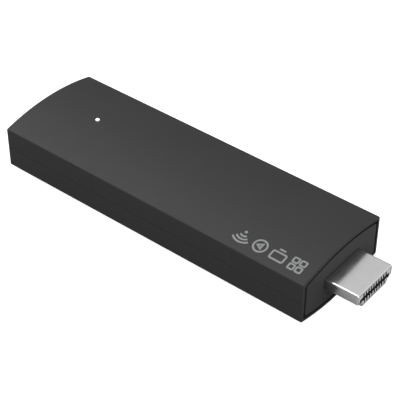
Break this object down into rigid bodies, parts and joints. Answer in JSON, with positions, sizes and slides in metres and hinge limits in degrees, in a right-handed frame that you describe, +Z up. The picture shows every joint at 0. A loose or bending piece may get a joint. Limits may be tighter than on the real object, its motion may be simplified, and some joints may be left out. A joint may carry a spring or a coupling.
{
  "type": "streaming media player",
  "caption": "Slim HDMI stick streaming media player: arched two-part casing, end panel with a fixed HDMI plug, status light, micro-USB power port and a small side button.",
  "frame": {"origin": "centre of the object's footprint (plug included), at its lowest point, under the arched bottom", "axes": "+X runs along the body toward the HDMI plug, +Y points to the side with the power port and the button, +Z is up through the arched top"},
  "size_m": [0.101, 0.0306, 0.015],
  "materials": {
    "case_plastic": "fine matt texture, near-black grey moulded plastic",
    "panel_plastic": "satin near-black moulded plastic",
    "light_pipe": "clear light pipe, lit white at its tip",
    "plug_steel": "nickel-plated sheet steel, low gloss",
    "contact_gold": "gold-plated spring contact",
    "core_resin": "grey moulded insulator",
    "black_resin": "black moulding compound",
    "tin_sheet": "tin-plated sheet steel",
    "board_laminate": "green solder mask over glass-fibre laminate",
    "thermal_pad": "soft grey-blue gap filler",
    "spreader_aluminium": "rolled sheet, light brushing",
    "ferrite": "sintered ferrite",
    "capacitor_resin": "yellow moulded case",
    "led_resin": "phosphor resin"
  },
  "bodies": {
    "casing": {"top_shell": "case_plastic", "bottom_shell": "case_plastic", "end_panel": "panel_plastic", "led_light_pipe": "light_pipe", "hdmi_plug_shell": "plug_steel", "hdmi_insulator": "core_resin", "hdmi_contact_01": "contact_gold", "hdmi_contact_02": "contact_gold", "hdmi_contact_03": "contact_gold", "hdmi_contact_04": "contact_gold", "hdmi_contact_05": "contact_gold", "hdmi_contact_06": "contact_gold", "hdmi_contact_07": "contact_gold", "hdmi_contact_08": "contact_gold", "hdmi_contact_09": "contact_gold", "hdmi_contact_10": "contact_gold", "hdmi_contact_11": "contact_gold", "hdmi_contact_12": "contact_gold", "hdmi_contact_13": "contact_gold", "hdmi_contact_14": "contact_gold", "hdmi_contact_15": "contact_gold", "hdmi_contact_16": "contact_gold", "hdmi_contact_17": "contact_gold", "hdmi_contact_18": "contact_gold", "hdmi_contact_19": "contact_gold", "usb_shell": "plug_steel", "usb_tongue": "black_resin", "usb_contact_1": "contact_gold", "usb_contact_2": "contact_gold", "usb_contact_3": "contact_gold", "usb_contact_4": "contact_gold", "usb_contact_5": "contact_gold", "main_board": "board_laminate", "soc_package": "black_resin", "memory_chip_1": "black_resin", "memory_chip_2": "black_resin", "flash_chip": "black_resin", "power_chip": "black_resin", "crystal": "tin_sheet", "power_inductor_1": "ferrite", "power_inductor_2": "ferrite", "bulk_capacitor": "capacitor_resin", "led_chip": "led_resin", "wireless_module": "tin_sheet", "antenna_main": "tin_sheet", "antenna_aux": "tin_sheet", "board_screw_front": "plug_steel", "board_screw_rear": "plug_steel", "shield_frame": "tin_sheet", "shield_lid": "tin_sheet", "thermal_pad_soc": "thermal_pad", "thermal_pad_lid": "thermal_pad", "heat_spreader": "spreader_aluminium", "switch_base": "black_resin", "switch_cover": "tin_sheet", "switch_dome": "plug_steel"},
    "button": {"reset_button": "case_plastic", "switch_plunger": "core_resin"}
  },
  "joints": [
    {"name": "button_press", "type": "slide", "parent": "casing", "child": "button", "axis": [0, -1, 0], "range_m": [0, 0.00025], "deforming": ["switch_dome"]}
  ]
}
